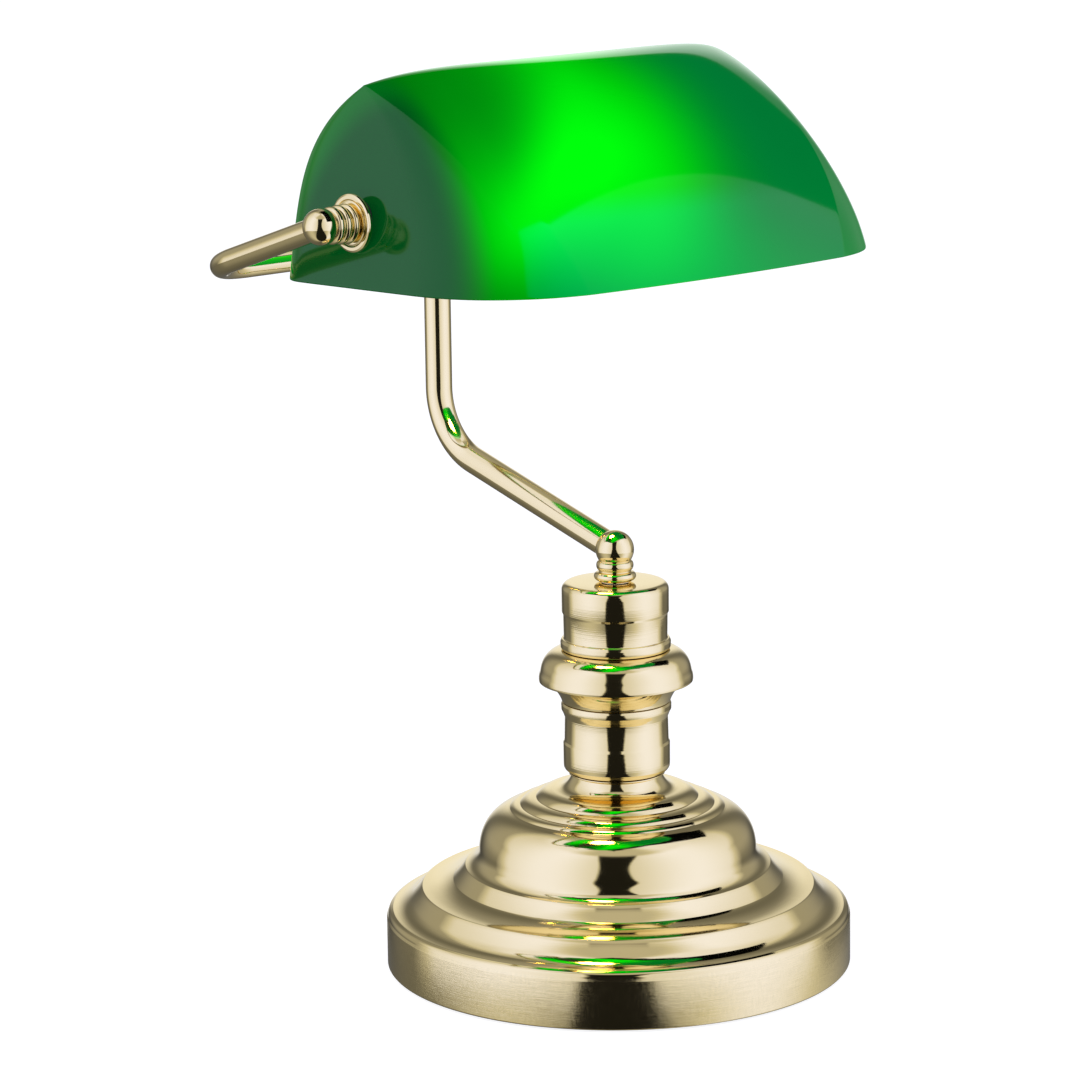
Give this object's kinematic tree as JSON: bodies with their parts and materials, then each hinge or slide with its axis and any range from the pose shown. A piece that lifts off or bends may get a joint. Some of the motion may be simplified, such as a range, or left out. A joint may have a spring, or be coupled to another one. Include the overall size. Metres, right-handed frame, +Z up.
{
  "type": "banker desk lamp",
  "caption": "Desk lamp with a stepped round base, turned column, bent stem and a yoke that holds a tilting green glass trough shade.",
  "frame": {"origin": "centre of the round base, on the underside of the felt pad that the lamp stands on", "axes": "+Z up through the column, -Y towards the lamp's front, +X along the shade to its right-hand end"},
  "size_m": [0.2654, 0.211, 0.3717],
  "materials": {
    "polished_brass": "polished pale brass under clear lacquer",
    "green_glass": "glossy green glass cased over opal white glass",
    "zinc_steel": "bright zinc plate, satin",
    "cast_iron": "rough casting, black",
    "black_rubber": "matt black",
    "black_felt": "black felt",
    "fibreboard": "dark pressed fibreboard, matt",
    "black_plastic": "black moulded thermoset, satin",
    "white_ceramic": "white glazed",
    "white_plastic": "white moulded, satin",
    "frosted_glass": "frosted inside, lit warm white",
    "clear_glass": "clear",
    "tungsten": "drawn wire, glowing",
    "lead_sheath": "white sheath, matt"
  },
  "bodies": {
    "lamp": {"base_shell": "polished_brass", "base_weight": "cast_iron", "bottom_plate": "fibreboard", "bulb_cap": "zinc_steel", "bulb_contact": "zinc_steel", "bulb_glass": "frosted_glass", "bulb_insulator": "black_plastic", "bulb_mount": "clear_glass", "cable_gland": "black_rubber", "centre_contact": "polished_brass", "felt_pad": "black_felt", "filament": "tungsten", "filament_support_1": "zinc_steel", "filament_support_2": "zinc_steel", "flange_washer_left": "polished_brass", "flange_washer_right": "polished_brass", "holder_body": "black_plastic", "holder_cap": "black_plastic", "holder_insert": "white_ceramic", "lower_cup": "polished_brass", "neck_ring": "polished_brass", "pivot_elbow_left": "polished_brass", "pivot_elbow_right": "polished_brass", "pivot_nipple_left": "zinc_steel", "pivot_nipple_right": "zinc_steel", "pivot_nut_left": "zinc_steel", "pivot_nut_right": "zinc_steel", "plate_screw_1": "zinc_steel", "plate_screw_2": "zinc_steel", "plate_screw_3": "zinc_steel", "rod_nut": "zinc_steel", "rod_washer": "zinc_steel", "skirt_bell": "polished_brass", "socket_screw_shell": "polished_brass", "steel_washer_left": "zinc_steel", "steel_washer_right": "zinc_steel", "stem_elbow": "polished_brass", "stem_tube": "polished_brass", "supply_lead": "lead_sheath", "terminal_block": "white_plastic", "terminal_screw_1": "polished_brass", "terminal_screw_2": "polished_brass", "terminal_screw_3": "polished_brass", "threaded_rod": "zinc_steel", "upper_cup": "polished_brass", "waist_cup": "polished_brass", "yoke_arm_left": "polished_brass", "yoke_arm_right": "polished_brass", "yoke_tee": "polished_brass"},
    "shade": {"shade_glass": "green_glass", "outer_rubber_washer_left": "black_rubber", "outer_rubber_washer_right": "black_rubber", "inner_rubber_washer_left": "black_rubber", "inner_rubber_washer_right": "black_rubber"}
  },
  "joints": [
    {"name": "shade_tilt", "type": "hinge", "parent": "lamp", "child": "shade", "pos_m": [0, 0.0284, 0.3136], "axis": [1, 0, 0], "range_deg": [-45, 45]}
  ]
}
